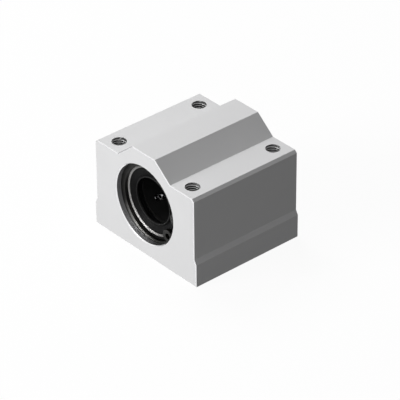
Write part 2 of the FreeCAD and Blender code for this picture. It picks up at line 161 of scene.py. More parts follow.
class ThreadSizes(PropertyGroup):
    """The screw threads in the block's shoulders."""

    pitch: length("Pitch", "Distance from one turn to the next", 0.8 * MM)
    depth: length("Depth", "How far the thread goes down", 12.0 * MM)
    crest: length("Crest", "Width of the flat on the ridge", 0.1 * MM)
    sunk: length("Sunk", "How far the ridge's foot is sunk into the wall", 0.02 * MM)
    top_room: length("Top room", "Plain wall above the thread", 0.1 * MM)
    bottom_room: length("Bottom room", "Plain wall below the thread", 0.2 * MM)
    fade: FloatProperty(name="Fade", description="Turns in which the ridge dies away", default=0.6, min=0.1)
    segments: IntProperty(name="Segments", description="Steps in one turn", default=40, min=8, max=128)


class BearingFinish(PropertyGroup):
    """The finishes of the bearing's pieces and of the rings that hold it, with painted shade on the sleeve,
    the rings and the balls and a painted highlight on the seals' lips.
    """

    steel_colour: colour("Sleeve steel", "Colour of the ground sleeve", (0.6, 0.59, 0.58))
    steel_roughness: share("Sleeve roughness", "Roughness of the ground sleeve", 0.42)
    # Painted shade: the share of light taken from the sleeve's colour away from the bore's lower left.
    steel_painted_shade: share("Sleeve oil", "How much light the oil on the sleeve takes", 0.6)
    steel_marks: length("Sleeve marks", "Depth of the grinding marks on the sleeve", 0.032 * MM)
    # Painted shade: the balls' colour is set far darker than polished steel, standing in for the dark that
    # they mirror inside the bore.
    ball_colour: colour("Balls", "Colour of the polished balls", (0.22, 0.22, 0.225))
    ball_roughness: share("Ball roughness", "Roughness of the polished balls", 0.12)
    cage_colour: colour("Cage", "Colour of the moulded cage", (0.006, 0.006, 0.006))
    cage_roughness: share("Cage roughness", "Roughness of the moulded cage", 0.45)
    cage_gloss: share("Cage gloss", "Strength of the cage's shine", 0.25)
    cage_grain: length("Cage grain", "Depth of the cage's moulded grain", 0.008 * MM)
    cage_dust: colour("Cage dust", "Colour of the dust on the cage", (0.2, 0.19, 0.18))
    plate_colour: colour("End rings", "Colour of the stamped end rings", (0.10, 0.10, 0.10))
    plate_roughness: share("End ring roughness", "Roughness of the stamped end rings", 0.38)
    plate_marks: length("End ring marks", "Depth of the rolling marks on the end rings", 0.003 * MM)
    spring_face: colour("Ring faces", "Colour of the retaining rings' flat faces", (0.2, 0.198, 0.19))
    # Painted shade: the rings' edges, their inner wall too, get a near-black colour for the shade that falls
    # on them.
    spring_edge_shade: colour("Ring edges", "Colour of the retaining rings' edges", (0.012, 0.011, 0.010))
    spring_metal: share("Ring metal", "How much the retaining rings mirror like metal", 0.6)
    spring_roughness: share("Ring roughness", "Roughness of the retaining rings", 0.34)
    spring_gloss: share("Ring gloss", "Strength of the phosphate's shine", 0.1)
    # Painted shade: the share of light taken from the retaining rings' colour everywhere but close to 60
    # degrees below the left.
    spring_painted_shade: share("Ring oil", "How much light the oil on the retaining rings takes", 0.83)
    spring_grain: length("Ring grain", "Depth of the phosphate's grain", 0.01 * MM)
    spring_marks: length("Ring marks", "Depth of the marks round the retaining rings", 0.035 * MM)
    rubber_colour: colour("Rubber", "Colour of the seals", (0.003, 0.003, 0.0032))
    rubber_roughness: share("Rubber roughness", "Roughness of the seals", 0.36)
    rubber_gloss: share("Rubber gloss", "Strength of the rubber's shine", 0.07)
    rubber_grain: length("Rubber grain", "Depth of the rubber's grain", 0.01 * MM)
    rubber_marks: length("Rubber marks", "Depth of the mould's turning marks on the seals", 0.03 * MM)
    # Painted highlight: a lighter band round the seals' lips, where light catches their rounded edge.
    lip_highlight_colour: colour("Rubbed lip", "Colour of the lips, where a shaft has rubbed them", (0.02, 0.02, 0.02))
    lip_width: length("Rubbed width", "How far out from the shaft the rubber is rubbed", 0.5 * MM)
    lip_highlight_fade: length("Rubbed fade", "Width over which the rubbed colour fades", 0.2 * MM)
    rubber_dust: colour("Rubber dust", "Colour of the dust on the seals", (0.25, 0.24, 0.23))
    edge_radius: length("Edge radius", "Rounding of stamped and ground edges", 0.1 * MM)


class SealSizes(PropertyGroup):
    """The section of a seal, measured from its outer face and from the bore's axis."""

    rim_width: length("Rim width", "Width of the flat rim", 0.8 * MM)
    dish_depth: length("Dish depth", "Depth of the dished face", 0.65 * MM)
    dish_radius: length("Dish radius", "Radius at the middle of the dish's floor", 9.1 * MM)
    dish_floor: length("Dish floor", "Width of the dish's floor", 0.6 * MM)
    lip_width: length("Lip width", "Width of the lip's end", 0.4 * MM)
    lip_length: length("Lip length", "Length of the lip's wall on the shaft", 0.5 * MM)
    relief: length("Relief", "How far the bore opens out behind the lip", 0.9 * MM)
    rounding: length("Rounding", "Rounding of the rubber's edges", 0.12 * MM)
    segments: IntProperty(name="Segments", description="Steps round the seal", default=160, min=32, max=512)


class StageSettings(PropertyGroup):
    """The photograph's viewpoint, the lamps and the pale surroundings."""

    view_azimuth: angle("View azimuth", "The camera's angle round the block, from straight ahead", 49.23)
    view_elevation: angle("View elevation", "The camera's height above the floor as an angle", 33.22)
    view_roll: angle("View roll", "How far the camera is turned about the way it looks", -0.49)
    view_distance: length("View distance", "From the camera to the point it looks at", 893.4 * MM, 10)
    view_target: FloatVectorProperty(
        name="View target",
        description="The point that the camera looks at",
        default=(-3.41 * MM, 4.47 * MM, 7.74 * MM),
        subtype="TRANSLATION",
        precision=5,
    )
    lens: FloatProperty(name="Lens", description="Focal length in millimetres", default=245.9, min=1)
    front_lamp: direction("Front lamp", "The way to the lamp that lights the bored face", (-0.3, -0.9, 0.31))
    front_level: level("Front level", "Brightness of a white face turned to the front lamp", 1.07)
    top_lamp: direction("Top lamp", "The way to the lamp that lights the shoulders", (-0.65, 0.14, 0.76))
    top_level: level("Top level", "Brightness of a white face turned to the top lamp", 0.6)
    fill_lamp: direction("Fill lamp", "The way to the weak lamp beside the camera", (0.63, -0.56, 0.54))
    fill_level: level("Fill level", "Brightness of a white face turned to the fill lamp", 0.18)
    lamp_distance: length("Lamp distance", "Distance from the block to each lamp", 1.0, 10)
    lamp_size: length("Lamp size", "Side of each lamp's square face", 0.5, 10)
    room_light: share("Room light", "Brightness of the light that comes from all round", 0.015)
    floor_bounce: share("Floor bounce", "How much light the floor sends back up", 0.015)
    floor_glow: share("Floor glow", "How bright the floor looks in shadow", 0.94)
    floor_shade: share("Floor shade", "How strongly the block's shadow shows on the floor", 0.06)
    floor_size: length("Floor size", "Side of the floor", 6.0, 50)


SETTINGS = {
    "block_finish": BlockFinish,
    "grease_line": GreaseLine,
    "thread_sizes": ThreadSizes,
    "bearing_finish": BearingFinish,
    "seal_sizes": SealSizes,
    "stage_settings": StageSettings,
}


# Nodes


def add_node(tree, kind, inputs=None, **options):
    """A new node, with its options set and its inputs given numbers or joined to other nodes' sockets."""
    node = tree.nodes.new(kind)
    for name, option in options.items():
        setattr(node, name, option)
    for name, source in (inputs or {}).items():
        socket = node.inputs[name]
        if isinstance(source, bpy.types.NodeSocket):
            tree.links.new(source, socket)
        else:
            socket.default_value = source
    return node


def calculate(tree, operation, *values, clamp=False):
    """The output of a maths node."""
    inputs = dict(enumerate(values))
    return add_node(tree, "ShaderNodeMath", inputs, operation=operation, use_clamp=clamp).outputs[0]


def blend_values(tree, share_socket, first, second):
    inputs = {"Factor": share_socket, 2: first, 3: second}
    return add_node(tree, "ShaderNodeMix", inputs, data_type="FLOAT").outputs[0]


def blend_colours(tree, share_socket, first, second):
    inputs = {"Factor": share_socket, 6: first, 7: second}
    return add_node(tree, "ShaderNodeMix", inputs, data_type="RGBA").outputs[2]


def multiply_colours(tree, first, second):
    inputs = {"Factor": 1.0, 6: first, 7: second}
    return add_node(tree, "ShaderNodeMix", inputs, data_type="RGBA", blend_type="MULTIPLY").outputs[2]


def step_between(tree, value, low, high):
    """0 below low and 1 above high, with a smooth step between them."""
    inputs = {"Value": value, "From Min": low, "From Max": high}
    return add_node(tree, "ShaderNodeMapRange", inputs, interpolation_type="SMOOTHSTEP").outputs[0]


def noise_at(tree, vector, scale, detail, roughness):
    inputs = {"Vector": vector, "Scale": scale, "Detail": detail, "Roughness": roughness}
    return add_node(tree, "ShaderNodeTexNoise", inputs).outputs["Fac"]


def new_group(name, inputs, outputs):
    """An empty node group with named numbers in and out, and the nodes that hold its two ends."""
    tree = bpy.data.node_groups.new(name, "ShaderNodeTree")
    for label, default in inputs.items():
        socket = tree.interface.new_socket(label, in_out="INPUT", socket_type="NodeSocketFloat")
        socket.default_value = default
    for label in outputs:
        tree.interface.new_socket(label, in_out="OUTPUT", socket_type="NodeSocketFloat")
    return tree, tree.nodes.new("NodeGroupInput").outputs, tree.nodes.new("NodeGroupOutput").inputs


def use_group(tree, build_group, **inputs):
    """A group placed in a material, built the first time that it is asked for."""
    name = build_group.__name__
    group = bpy.data.node_groups.get(name) or build_group(name)
    node = add_node(tree, "ShaderNodeGroup", node_tree=group)
    for label, value in inputs.items():
        node.inputs[label.replace("_", " ").capitalize()].default_value = value
    return node.outputs


def object_place(tree):
    """The point in the row's frame, as a vector in metres."""
    return add_node(tree, "ShaderNodeTexCoord").outputs["Object"]


def object_position(tree):
    """X, Y and Z of the point in the row's frame, in metres."""
    return add_node(tree, "ShaderNodeSeparateXYZ", {0: object_place(tree)}).outputs


def facing_way(tree):
    """X, Y and Z of the way that the surface faces."""
    normal = add_node(tree, "ShaderNodeNewGeometry").outputs["Normal"]
    return add_node(tree, "ShaderNodeSeparateXYZ", {0: normal}).outputs


def magnitude(tree, value):
    """A number without its sign."""
    return calculate(tree, "ABSOLUTE", value)


def distance(tree, across, along):
    """How far away a point is, from how far it is across and how far along."""
    squares = calculate(tree, "ADD", calculate(tree, "POWER", across, 2), calculate(tree, "POWER", along, 2))
    return calculate(tree, "SQRT", squares)


def bore_radius_at(tree, position):
    """Distance from the bore's axis."""
    return distance(tree, position["X"], calculate(tree, "SUBTRACT", position["Z"], BORE_HEIGHT))


def satin_grain(name):
    """Fine even grain, and slow patches where a finish is a little lighter or rougher."""
    inputs = {"Grain per metre": 9000, "Patches per metre": 120}
    tree, given, result = new_group(name, inputs, ["Height", "Patches"])
    place = object_place(tree)
    fine = noise_at(tree, place, given["Grain per metre"], detail=2.0, roughness=0.6)
    slow = noise_at(tree, place, given["Patches per metre"], detail=3.0, roughness=0.55)
    tree.links.new(fine, result["Height"])
    tree.links.new(slow, result["Patches"])
    return tree


def turned_lines(name):
    """The tool's feed marks: rings about the bore's axis on faces across it and round the walls along it."""
    tree, given, result = new_group(name, {"Lines per metre": 5500, "Wander": 3.0}, ["Height"])
    across_limit = 0.7
    position = object_position(tree)
    is_across = calculate(tree, "GREATER_THAN", magnitude(tree, facing_way(tree)["Y"]), across_limit)
    travel = blend_values(tree, is_across, position["Y"], bore_radius_at(tree, position))
    place = calculate(tree, "MULTIPLY", travel, given["Lines per metre"])
    uneven = {"W": place, "Scale": 0.4, "Detail": 3.0, "Roughness": 0.7}
    noise = add_node(tree, "ShaderNodeTexNoise", uneven, noise_dimensions="1D").outputs["Fac"]
    turns = calculate(tree, "MULTIPLY", place, 2 * math.pi)
    wave = calculate(tree, "SINE", calculate(tree, "MULTIPLY_ADD", noise, given["Wander"], turns))
    tree.links.new(calculate(tree, "MULTIPLY_ADD", wave, 0.5, 0.5), result["Height"])
    return tree


def painted_bore_shade(name):
    """Painted shade: the share of light taken from a colour in the bore, and none on the side where the bore
    is lit.

    The unshaded side lies at an angle below the left. The painted shade begins and is full at the angles from
    there whose cosines are Start and End.
    """
    inputs = {"Amount": 0.8, "Unshaded towards": math.radians(25), "Start": 0.75, "End": 0.0}
    tree, given, result = new_group(name, inputs, ["Film"])
    position = object_position(tree)
    left = calculate(tree, "MULTIPLY", position["X"], calculate(tree, "COSINE", given["Unshaded towards"]))
    up = calculate(tree, "SUBTRACT", position["Z"], BORE_HEIGHT)
    away = calculate(tree, "MULTIPLY_ADD", up, calculate(tree, "SINE", given["Unshaded towards"]), left)
    towards = calculate(tree, "MULTIPLY", away, -1.0)
    towards_unshaded = calculate(tree, "DIVIDE", towards, bore_radius_at(tree, position))
    film = step_between(tree, towards_unshaded, given["Start"], given["End"])
    tree.links.new(calculate(tree, "MULTIPLY", film, given["Amount"]), result["Film"])
    return tree


def grease_line(name):
    """Painted shadow: 1 beside a retaining ring, where the ring's shadow falls, and 0 beyond the line's
    width.
    """
    inputs = {"Ring depth": RING_Y, "Ring radius": 12.9 * MM, "Width": 0.4 * MM}
    tree, given, result = new_group(name, inputs, ["Grease"])
    position = object_position(tree)
    outside = calculate(tree, "SUBTRACT", magnitude(tree, position["Y"]), given["Ring depth"])
    inside = calculate(tree, "SUBTRACT", given["Ring radius"], bore_radius_at(tree, position))
    away = calculate(tree, "MAXIMUM", outside, inside)
    half_width = calculate(tree, "MULTIPLY", given["Width"], 0.5)
    tree.links.new(step_between(tree, away, given["Width"], half_width), result["Grease"])
    return tree


def flat_faces(name):
    """1 on the faces across the bore and 0 on the edges round them."""
    tree, given, result = new_group(name, {"Softness": 0.15}, ["Flat"])
    face_on = 0.95
    start = calculate(tree, "SUBTRACT", face_on, given["Softness"])
    facing = magnitude(tree, facing_way(tree)["Y"])
    tree.links.new(step_between(tree, facing, start, face_on), result["Flat"])
    return tree


def drawn_lines(name):
    """Very long fine lines along the block, as a die leaves them."""
    tree, given, result = new_group(name, {"Lines per metre": 5000, "Stretch": 0.006}, ["Height"])
    position = object_position(tree)
    along = calculate(tree, "MULTIPLY", position["Y"], given["Stretch"])
    corner = {"X": position["X"], "Y": along, "Z": position["Z"]}
    place = add_node(tree, "ShaderNodeCombineXYZ", corner).outputs[0]
    lines = noise_at(tree, place, given["Lines per metre"], detail=4.0, roughness=0.65)
    tree.links.new(lines, result["Height"])
    return tree


def settled_dust(name):
    """A thin uneven film, thickest on faces that look up, which dulls dark pieces."""
    tree, given, result = new_group(name, {"Amount": 0.02, "Specks per metre": 1800}, ["Dust"])
    bare, covered, tilt = 0.42, 0.7, 0.4
    specks = noise_at(tree, object_place(tree), given["Specks per metre"], detail=6.0, roughness=0.75)
    lying = calculate(tree, "MULTIPLY_ADD", facing_way(tree)["Z"], tilt, 1 - tilt, clamp=True)
    film = calculate(tree, "MULTIPLY", step_between(tree, specks, bare, covered), lying)
    tree.links.new(calculate(tree, "MULTIPLY", film, given["Amount"]), result["Dust"])
    return tree


def cut_faces(name):
    """1 where a tool has cut the block after it was anodised: broken edges, the bore and the screw holes."""
    inputs = {"Bore radius": 14.8 * MM, "Edge depth": 0.4 * MM}
    tree, given, result = new_group(name, inputs, ["Edges", "Bored", "Drilled"])
    chamfer_slope, slope_tolerance = math.sqrt(0.5), 0.12
    face_clearance = 0.01 * MM
    hole_clearance = 0.03 * MM
    level_limit = 0.9
    position = object_position(tree)
    facing = facing_way(tree)
    depth = magnitude(tree, position["Y"])

    slanted = calculate(tree, "COMPARE", magnitude(tree, facing["Y"]), chamfer_slope, slope_tolerance)
    edge_start = calculate(tree, "SUBTRACT", FACE_Y, given["Edge depth"])
    edges = calculate(tree, "MULTIPLY", slanted, calculate(tree, "GREATER_THAN", depth, edge_start))
    tree.links.new(edges, result["Edges"])

    in_bore = calculate(tree, "LESS_THAN", bore_radius_at(tree, position), given["Bore radius"])
    not_face = calculate(tree, "LESS_THAN", depth, FACE_Y - face_clearance)
    in_wall = calculate(tree, "MULTIPLY", in_bore, not_face)
    tree.links.new(calculate(tree, "SUBTRACT", in_wall, edges, clamp=True), result["Bored"])

    across = calculate(tree, "SUBTRACT", magnitude(tree, position["X"]), HOLE_X)
    along = calculate(tree, "SUBTRACT", depth, HOLE_Y)
    in_hole = calculate(tree, "LESS_THAN", distance(tree, across, along), THREAD_RADIUS + hole_clearance)
    upright = calculate(tree, "LESS_THAN", magnitude(tree, facing["Z"]), level_limit)
    tree.links.new(calculate(tree, "MULTIPLY", in_hole, upright), result["Drilled"])
    return tree


# Materials


def new_material(name):
    """A material with its shader, and the tree that holds them."""
    material = bpy.data.materials.new(name)
    material.use_nodes = True
    tree = material.node_tree
    return material, tree, tree.nodes["Principled BSDF"]


def join(tree, source, shader, socket):
    tree.links.new(source, shader.inputs[socket])


def set_bump(tree, shader, height, depth, strength=1.0):
    """Raises the surface by a height from 0 to 1 over the depth in metres."""
    inputs = {"Height": height, "Distance": depth, "Strength": strength}
    join(tree, add_node(tree, "ShaderNodeBump", inputs).outputs["Normal"], shader, "Normal")


def set_marks(tree, shader, marks, grain, marks_depth, grain_depth):
    """Raises the surface by tool marks and by a grain, each over its own depth in metres."""
    height = calculate(tree, "MULTIPLY_ADD", marks, marks_depth / grain_depth, grain)
    set_bump(tree, shader, height, grain_depth)


def vary(tree, value, mask, spread):
    """A number that changes by the spread from one side of the mask to the other."""
    centred = calculate(tree, "SUBTRACT", mask, 0.5)
    return calculate(tree, "MULTIPLY_ADD", centred, spread, value)


def shaded(tree, rgb, mask, spread):
    """A colour that gets a little darker and lighter with the mask."""
    dark = (*(part * (1 - spread) for part in rgb), 1)
    light = (*(min(1, part * (1 + spread)) for part in rgb), 1)
    return blend_colours(tree, mask, dark, light)


def with_painted_shade(tree, bare, **shade_values):
    """A colour darkened by the painted shade in the bore."""
    film = use_group(tree, painted_bore_shade, **shade_values)["Film"]
    return multiply_colours(tree, bare, calculate(tree, "SUBTRACT", 1.0, film))


def ring_shadowed(tree, bare, ring_shadow, width):
    """A colour with a line of painted shadow beside the retaining rings."""
    sizes = {"ring_depth": RING_Y, "ring_radius": ring_shadow.ring_radius, "width": width}
    line = use_group(tree, grease_line, **sizes)["Grease"]
    return blend_colours(tree, line, bare, (*ring_shadow.colour, 1))


def anodised_aluminium(settings, ring_shadow):
    material, tree, shader = new_material("anodised_aluminium")
    grain = use_group(tree, satin_grain, grain_per_metre=7000, patches_per_metre=90)
    lines = use_group(tree, drawn_lines)
    turned = use_group(tree, turned_lines)
    cut = use_group(tree, cut_faces, bore_radius=settings.bore_radius, edge_depth=settings.edge_depth)
    facing = facing_way(tree)

    skin = shaded(tree, settings.skin_colour, grain["Patches"], spread=0.03)
    # Painted shade: the bare edges that look to the left get the darker edge colour, the others the lighter
    # one.
    lit_side = step_between(tree, facing["X"], low=-0.4, high=-0.2)
    edges = blend_colours(tree, lit_side, (*settings.edge_shade, 1), (*settings.edge_colour, 1))
    bare_bore = shaded(tree, settings.bore_colour, turned["Height"], spread=0.3)
    # Painted shade darkens the bored wall away from its lower left, and a painted shadow lines it beside the
    # retaining ring.
    bore_with_shade = with_painted_shade(tree, bare_bore, amount=settings.bore_painted_shade)
    bore = ring_shadowed(tree, bore_with_shade, ring_shadow, ring_shadow.wall_width)
    holes = shaded(tree, settings.hole_colour, turned["Height"], spread=0.4)
    with_edges = blend_colours(tree, cut["Edges"], skin, edges)
    with_bore = blend_colours(tree, cut["Bored"], with_edges, bore)
    join(tree, blend_colours(tree, cut["Drilled"], with_bore, holes), shader, "Base Color")

    walls = calculate(tree, "MAXIMUM", cut["Bored"], cut["Drilled"])
    bright = calculate(tree, "MAXIMUM", cut["Edges"], cut["Drilled"])
    bored_metal = calculate(tree, "MULTIPLY_ADD", cut["Bored"], settings.bore_metal, settings.skin_metal)
    join(tree, calculate(tree, "MAXIMUM", bright, bored_metal), shader, "Metallic")
    skin_roughness = vary(tree, settings.skin_roughness, grain["Patches"], spread=0.12)
    edged_roughness = blend_values(tree, cut["Edges"], skin_roughness, settings.edge_roughness)
    wall_roughness = vary(tree, settings.wall_roughness, turned["Height"], spread=0.2)
    join(tree, blend_values(tree, walls, edged_roughness, wall_roughness), shader, "Roughness")
    shader.inputs["Specular IOR Level"].default_value = settings.skin_gloss

    end_limit, grain_share = 0.5, 0.6
    long_face = calculate(tree, "LESS_THAN", magnitude(tree, facing["Y"]), end_limit)
    drawn = calculate(tree, "MULTIPLY", lines["Height"], long_face)
    skin_height = calculate(tree, "MULTIPLY_ADD", grain["Height"], grain_share, drawn)
    wall_height = calculate(tree, "MULTIPLY", turned["Height"], settings.feed_marks / settings.skin_grain)
    height = blend_values(tree, walls, skin_height, wall_height)
    set_bump(tree, shader, height, settings.skin_grain, strength=0.8)
    return material


def cut_thread(settings):
    material, tree, shader = new_material("cut_thread")
    grain = use_group(tree, satin_grain, grain_per_metre=12000, patches_per_metre=900)
    join(tree, shaded(tree, settings.hole_colour, grain["Patches"], spread=0.2), shader, "Base Color")
    join(tree, vary(tree, settings.wall_roughness, grain["Patches"], spread=0.25), shader, "Roughness")
    shader.inputs["Metallic"].default_value = 1.0
    set_bump(tree, shader, grain["Height"], settings.thread_grain)
    return material


def ground_steel(settings, ring_shadow):
    material, tree, shader = new_material("ground_steel")
    grain = use_group(tree, satin_grain, grain_per_metre=15000, patches_per_metre=300)
    turned = use_group(tree, turned_lines)
    bare = shaded(tree, settings.steel_colour, grain["Patches"], spread=0.08)
    # Painted shade on the sleeve's end away from the lower left, and a painted shadow beside the retaining
    # ring.
    steel = with_painted_shade(tree, bare, amount=settings.steel_painted_shade)
    join(tree, ring_shadowed(tree, steel, ring_shadow, ring_shadow.sleeve_width), shader, "Base Color")
    join(tree, vary(tree, settings.steel_roughness, grain["Patches"], spread=0.2), shader, "Roughness")
    shader.inputs["Metallic"].default_value = 1.0
    set_bump(tree, shader, turned["Height"], settings.steel_marks)
    return material


def polished_balls(settings):
    material, tree, shader = new_material("polished_balls")
    grain = use_group(tree, satin_grain, grain_per_metre=20000, patches_per_metre=1200)
    join(tree, shaded(tree, settings.ball_colour, grain["Patches"], spread=0.05), shader, "Base Color")
    join(tree, vary(tree, settings.ball_roughness, grain["Patches"], spread=0.08), shader, "Roughness")
    shader.inputs["Metallic"].default_value = 1.0
    return material


def moulded_cage(settings):
    material, tree, shader = new_material("moulded_cage")
    grain = use_group(tree, satin_grain, grain_per_metre=6000, patches_per_metre=260)
    dust = use_group(tree, settled_dust, amount=0.02)
    dark = shaded(tree, settings.cage_colour, grain["Patches"], spread=0.2)
    join(tree, blend_colours(tree, dust["Dust"], dark, (*settings.cage_dust, 1)), shader, "Base Color")
    join(tree, vary(tree, settings.cage_roughness, grain["Patches"], spread=0.2), shader, "Roughness")
    shader.inputs["Specular IOR Level"].default_value = settings.cage_gloss
    set_bump(tree, shader, grain["Height"], settings.cage_grain)
    return material


def stamped_plate(settings):
    material, tree, shader = new_material("stamped_plate")
    grain = use_group(tree, satin_grain, grain_per_metre=9000, patches_per_metre=400)
    lines = use_group(tree, drawn_lines, lines_per_metre=7000, stretch=1.0)
    join(tree, shaded(tree, settings.plate_colour, grain["Patches"], spread=0.2), shader, "Base Color")
    join(tree, vary(tree, settings.plate_roughness, grain["Patches"], spread=0.2), shader, "Roughness")
    shader.inputs["Metallic"].default_value = 1.0
    set_bump(tree, shader, lines["Height"], settings.plate_marks)
    return material


def phosphated_spring(settings):
    material, tree, shader = new_material("phosphated_spring_steel")
    grain = use_group(tree, satin_grain, grain_per_metre=8000, patches_per_metre=500)
    turned = use_group(tree, turned_lines)
    flat = use_group(tree, flat_faces)["Flat"]
    face = shaded(tree, settings.spring_face, grain["Patches"], spread=0.25)
    # Painted shade: the edges get the near-black colour, the flat faces the lighter one.
    edge = shaded(tree, settings.spring_edge_shade, grain["Patches"], spread=0.35)
    # Painted shade darkens the rings everywhere but close to 60 degrees below the left, the lugs too.
    film = {"amount": settings.spring_painted_shade, "unshaded_towards": math.radians(60), "start": 1.0, "end": 0.75}
    join(tree, with_painted_shade(tree, blend_colours(tree, flat, edge, face), **film), shader, "Base Color")
    join(tree, vary(tree, settings.spring_roughness, grain["Patches"], spread=0.2), shader, "Roughness")
    shader.inputs["Metallic"].default_value = settings.spring_metal
    shader.inputs["Specular IOR Level"].default_value = settings.spring_gloss
    depths = {"marks_depth": settings.spring_marks, "grain_depth": settings.spring_grain}
    set_marks(tree, shader, turned["Height"], grain["Height"], **depths)
    return material


def nitrile_rubber(settings):
    material, tree, shader = new_material("nitrile_rubber")
    grain = use_group(tree, satin_grain, grain_per_metre=7000, patches_per_metre=350)
    turned = use_group(tree, turned_lines)
    dust = use_group(tree, settled_dust, amount=0.008)
    dark = shaded(tree, settings.rubber_colour, grain["Patches"], spread=0.25)
    # Painted highlight: the lighter colour near the shaft stands in for the light on the lips' rounded edge.
    lip_highlight_to = LIP_RADIUS + settings.lip_width
    radius = bore_radius_at(tree, object_position(tree))
    rubbed = step_between(tree, radius, lip_highlight_to, lip_highlight_to - settings.lip_highlight_fade)
    with_lip_highlight = blend_colours(tree, rubbed, dark, (*settings.lip_highlight_colour, 1))
    join(tree, blend_colours(tree, dust["Dust"], with_lip_highlight, (*settings.rubber_dust, 1)), shader, "Base Color")
    join(tree, vary(tree, settings.rubber_roughness, grain["Patches"], spread=0.2), shader, "Roughness")
    shader.inputs["Specular IOR Level"].default_value = settings.rubber_gloss
    depths = {"marks_depth": settings.rubber_marks, "grain_depth": settings.rubber_grain}
    set_marks(tree, shader, turned["Height"], grain["Height"], **depths)
    return material


# Meshes


def new_piece(name, mesh, material):
    """A piece of the bearing block, in place in the row's frame and riding on it."""
    data = bpy.data.meshes.new(name)
    mesh.to_mesh(data)
    mesh.free()
    data.shade_smooth()
    data.materials.append(material)
    piece = bpy.data.objects.new(name, data)
    bpy.context.scene.collection.objects.link(piece)
    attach(piece, "root")
    return piece


def finish_node(name, material):
    """Gives a CAD node its finish."""
    node = NODES[name]
    node.data.materials.clear()
    node.data.materials.append(material)
    return node


def round_edges(piece, radius, steps=2, is_imported=False):
    """Rounds a piece's sharp edges. An imported node is first joined up where its faces meet."""
    if is_imported:
        piece.modifiers.new("joined_faces", "WELD").merge_threshold = WELD_DISTANCE
    rounding = piece.modifiers.new("rounded_edges", "BEVEL")
    rounding.width = radius
    rounding.segments = steps
    rounding.limit_method = "ANGLE"
    rounding.angle_limit = SHARP_ANGLE
    rounding.use_clamp_overlap = True
    piece.modifiers.new("even_shading", "WEIGHTED_NORMAL").keep_sharp = False


def ball_centres(node):
    """The centre and radius of each ball of a CAD node, whose corners lie on the real ball's surface."""
    solids = bmesh.new()
    solids.from_mesh(node.data)
    bmesh.ops.remove_doubles(solids, verts=solids.verts, dist=SAME_CORNER)
    seen = set()
    balls = []
    for first in solids.verts:
        if first in seen:
            continue
        seen.add(first)
        corners = [first]
        for corner in corners:
            for edge in corner.link_edges:
                other = edge.other_vert(corner)
                if other not in seen:
                    seen.add(other)
                    corners.append(other)
        centre = sum((corner.co for corner in corners), Vector()) / len(corners)
        balls.append((centre, max((corner.co - centre).length for corner in corners)))
    solids.free()
    return balls


def join_rings(mesh, rings, is_closed):
    """Faces between each ring of corners and the next, and from the last to the first if it is closed."""
    count = len(rings[0])
    last = len(rings) if is_closed else len(rings) - 1
    for i in range(last):
        ring, after = rings[i], rings[(i + 1) % len(rings)]
        for j in range(count):
            k = (j + 1) % count
            mesh.faces.new((ring[j], ring[k], after[k], after[j]))


def turn_section(section, face_y, inward, segments):
    """A closed ring turned about the bore's axis from a section of (depth from the face, radius)."""
    mesh = bmesh.new()
    rings = []
    for i in range(segments):
        turn = 2 * math.pi * i / segments
        across, up = math.cos(turn), math.sin(turn)
        corners = [(r * across, face_y + inward * depth, BORE_HEIGHT + r * up) for depth, r in section]
        rings.append([mesh.verts.new(corner) for corner in corners])
    join_rings(mesh, rings, is_closed=True)
    bmesh.ops.recalc_face_normals(mesh, faces=mesh.faces)
    return mesh


def thread_ridge(centre_x, centre_y, sizes):
    """One right-handed ridge wound down the wall of a hole, which dies away at both ends."""
    mesh = bmesh.new()
    least_rise = 0.02
    root_half = (sizes.pitch - sizes.crest) / 2 + sizes.sunk
    root_radius = THREAD_RADIUS + sizes.sunk
    top = SHOULDER_HEIGHT - root_half - sizes.top_room
    wound = sizes.depth - 2 * root_half - sizes.top_room - sizes.bottom_room
    steps = int(wound / sizes.pitch * sizes.segments)
    fade = sizes.segments * sizes.fade
    rings = []
    for i in range(steps + 1):
        turn = -2 * math.pi * i / sizes.segments
        z = top - sizes.pitch * i / sizes.segments
        rise = max(least_rise, min(1, i / fade, (steps - i) / fade))
        crest_radius = THREAD_RADIUS - (THREAD_RADIUS - DRILL_RADIUS) * rise
        half = sizes.crest / 2 + (root_half - sizes.crest / 2) * (1 - rise)
        ridge = ((root_radius, root_half), (crest_radius, half))
        section = (*ridge, *((radius, -up) for radius, up in reversed(ridge)))
        across, along = math.cos(turn), math.sin(turn)
        corners = [(centre_x + r * across, centre_y + r * along, z + up) for r, up in section]
        rings.append([mesh.verts.new(corner) for corner in corners])
    join_rings(mesh, rings, is_closed=False)
    mesh.faces.new(rings[0])
    mesh.faces.new(reversed(rings[-1]))
    bmesh.ops.recalc_face_normals(mesh, faces=mesh.faces)
    return mesh


# Operators


class BuildStep(Operator):
    """One step of the block's finishing. The steps that follow fill in what is made."""

    bl_options = {"REGISTER", "UNDO"}


class BEARINGBLOCK_OT_finish_housing(BuildStep):
    """Gives the housing its anodised skin, with bare metal where it was cut, painted shade in the bore and on
    the edges that look to the left
    """

    bl_idname = "bearing_block.finish_housing"
    bl_label = "Finish housing"

    def execute(self, context):
        scene = context.scene
        finish_node("housing_block", anodised_aluminium(scene.block_finish, scene.grease_line))
        return {"FINISHED"}


class BEARINGBLOCK_OT_cut_threads(BuildStep):
    """Winds a screw thread down each of the four holes in the shoulders"""

    bl_idname = "bearing_block.cut_threads"
    bl_label = "Cut threads"

    def execute(self, context):
        material = cut_thread(context.scene.block_finish)
        for end, y_sign in ENDS.items():
            for side, x_sign in (("left", -1), ("right", 1)):
                ridge = thread_ridge(x_sign * HOLE_X, y_sign * HOLE_Y, context.scene.thread_sizes)
                new_piece(f"thread_{end}_{side}", ridge, material)
        return {"FINISHED"}


